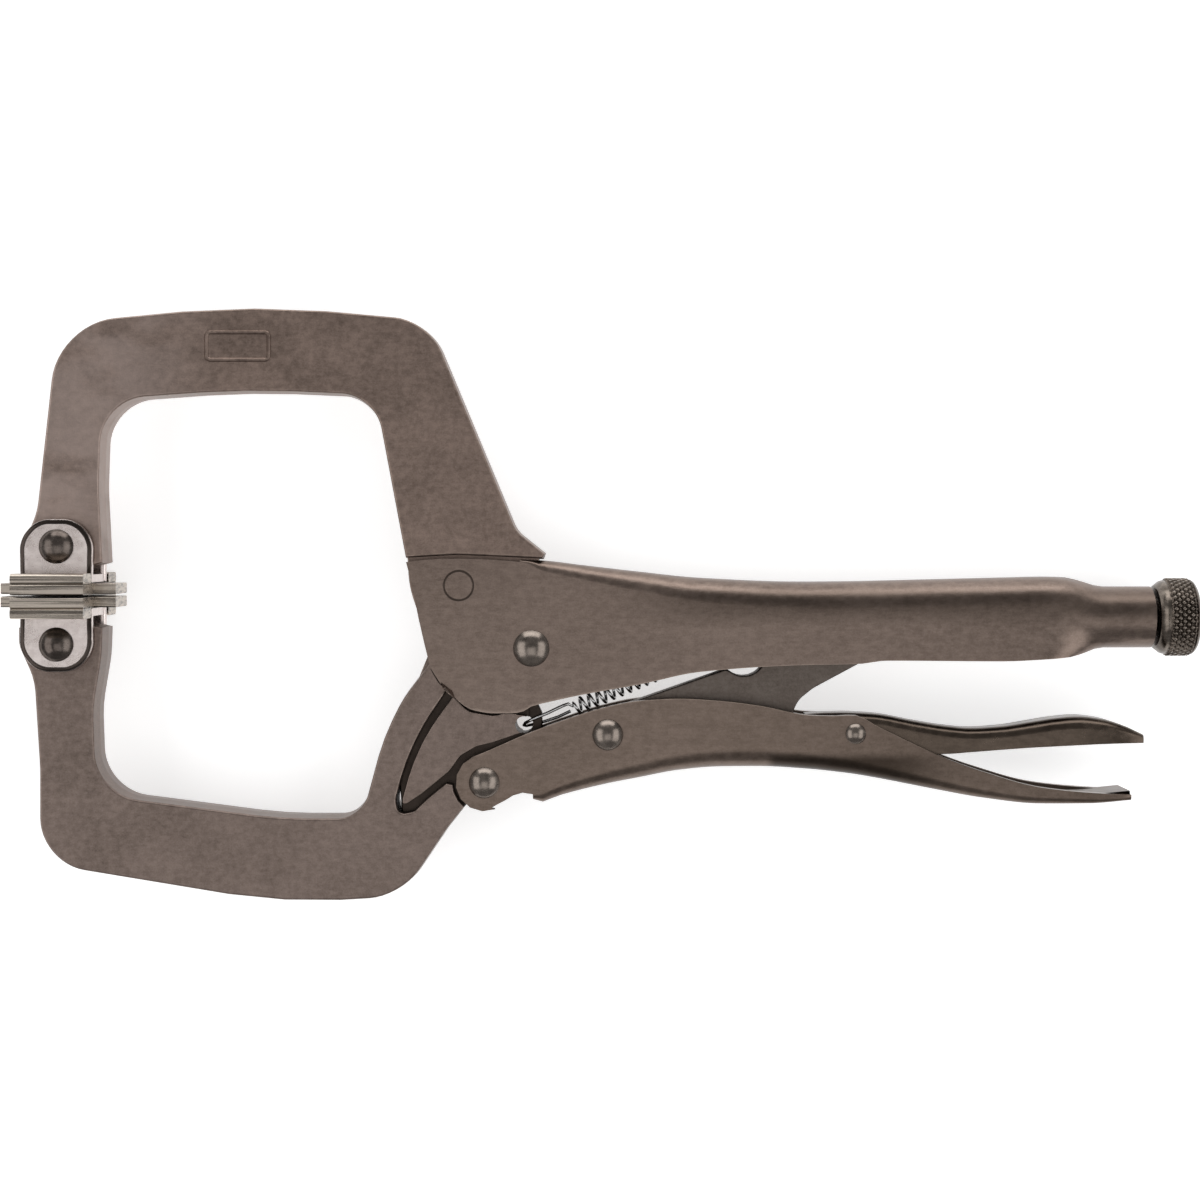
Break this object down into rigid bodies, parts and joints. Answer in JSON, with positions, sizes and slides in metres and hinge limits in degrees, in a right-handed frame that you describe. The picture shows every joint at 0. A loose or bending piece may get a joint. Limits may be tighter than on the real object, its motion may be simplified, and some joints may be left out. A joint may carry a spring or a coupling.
{
  "type": "locking c-clamp pliers",
  "caption": "Locking pliers with C-shaped jaws, swivel pads, an adjusting screw, a toggle lever and a release lever.",
  "frame": {"origin": "bottom centre of the whole tool's box, with the tool lying flat on its side", "axes": "+X towards the adjusting screw, +Y from the squeeze lever to the fixed jaw, +Z through the tool's thickness"},
  "size_m": [0.2772, 0.1378, 0.033],
  "materials": {
    "forged_steel": "forged and tumbled, dull nickel with brown oxide mottling",
    "pressed_steel": "satin nickel plate, slightly brown",
    "link_steel": "dull plate",
    "spring_wire": "bright drawn wire",
    "screw_steel": "rolled thread, oiled",
    "knob_steel": "bright diamond knurl",
    "polished_steel": "polished faces, dark edges",
    "pad_steel": "satin plate",
    "rivet_steel": "polished domed heads"
  },
  "bodies": {
    "handle": {"upper_handle": "pressed_steel", "fixed_jaw": "forged_steel", "fixed_jaw_rivet": "forged_steel", "jaw_pivot_rivet": "rivet_steel", "upper_pad_rivet": "rivet_steel", "return_spring": "spring_wire"},
    "moving_jaw": {"moving_jaw": "forged_steel", "lever_front_rivet": "rivet_steel", "lower_pad_rivet": "rivet_steel"},
    "lever": {"lever": "pressed_steel", "toggle_rivet": "rivet_steel", "release_rivet": "rivet_steel"},
    "toggle_link": {"toggle_link": "link_steel"},
    "release_lever": {"release_lever": "pressed_steel"},
    "adjusting_screw": {"adjusting_screw": "screw_steel"},
    "adjusting_knob": {"adjusting_knob": "knob_steel"},
    "upper_pad": {"upper_pad_clevis": "polished_steel", "upper_pad": "pad_steel"},
    "lower_pad": {"lower_pad_clevis": "polished_steel", "lower_pad": "pad_steel"}
  },
  "joints": [
    {"name": "jaw_opening", "type": "hinge", "parent": "handle", "child": "moving_jaw", "pos_m": [-0.0159, -0.0102, 0.0165], "axis": [0, 0, 1], "range_deg": [0, 42], "deforming": ["return_spring"]},
    {"name": "lever_swing", "type": "hinge", "parent": "moving_jaw", "child": "lever", "pos_m": [-0.0268, -0.0413, 0.0165], "axis": [0, 0, 1], "range_deg": [-97.4, 0]},
    {"name": "toggle_swing", "type": "hinge", "parent": "lever", "child": "toggle_link", "pos_m": [0.0018, -0.0302, 0.0165], "axis": [0, 0, 1], "range_deg": [0, 84.4]},
    {"name": "release_press", "type": "hinge", "parent": "lever", "child": "release_lever", "pos_m": [0.059, -0.0298, 0.0165], "axis": [0, 0, 1], "range_deg": [-8, 0]},
    {"name": "screw_travel", "type": "slide", "parent": "handle", "child": "adjusting_screw", "axis": [1, 0, 0], "range_m": [0, 0.022]},
    {"name": "knob_turn", "type": "hinge", "parent": "adjusting_screw", "child": "adjusting_knob", "pos_m": [0.134, -0.0031, 0.0165], "axis": [1, 0, 0], "range_deg": [0, 4990]},
    {"name": "upper_pad_swivel", "type": "hinge", "parent": "handle", "child": "upper_pad", "pos_m": [-0.1253, 0.0134, 0.0165], "axis": [0, 0, 1], "range_deg": [-10, 10]},
    {"name": "lower_pad_swivel", "type": "hinge", "parent": "moving_jaw", "child": "lower_pad", "pos_m": [-0.1253, -0.0092, 0.0165], "axis": [0, 0, 1], "range_deg": [-10, 10]}
  ],
  "couplings": [
    {"joint": "lever_swing", "follows": "jaw_opening", "ratio": -2.32},
    {"joint": "toggle_swing", "follows": "jaw_opening", "ratio": 2.01},
    {"joint": "knob_turn", "follows": "screw_travel", "rad_per_m": 3957.9},
    {"joint": "lower_pad_swivel", "follows": "upper_pad_swivel", "ratio": 1}
  ]
}
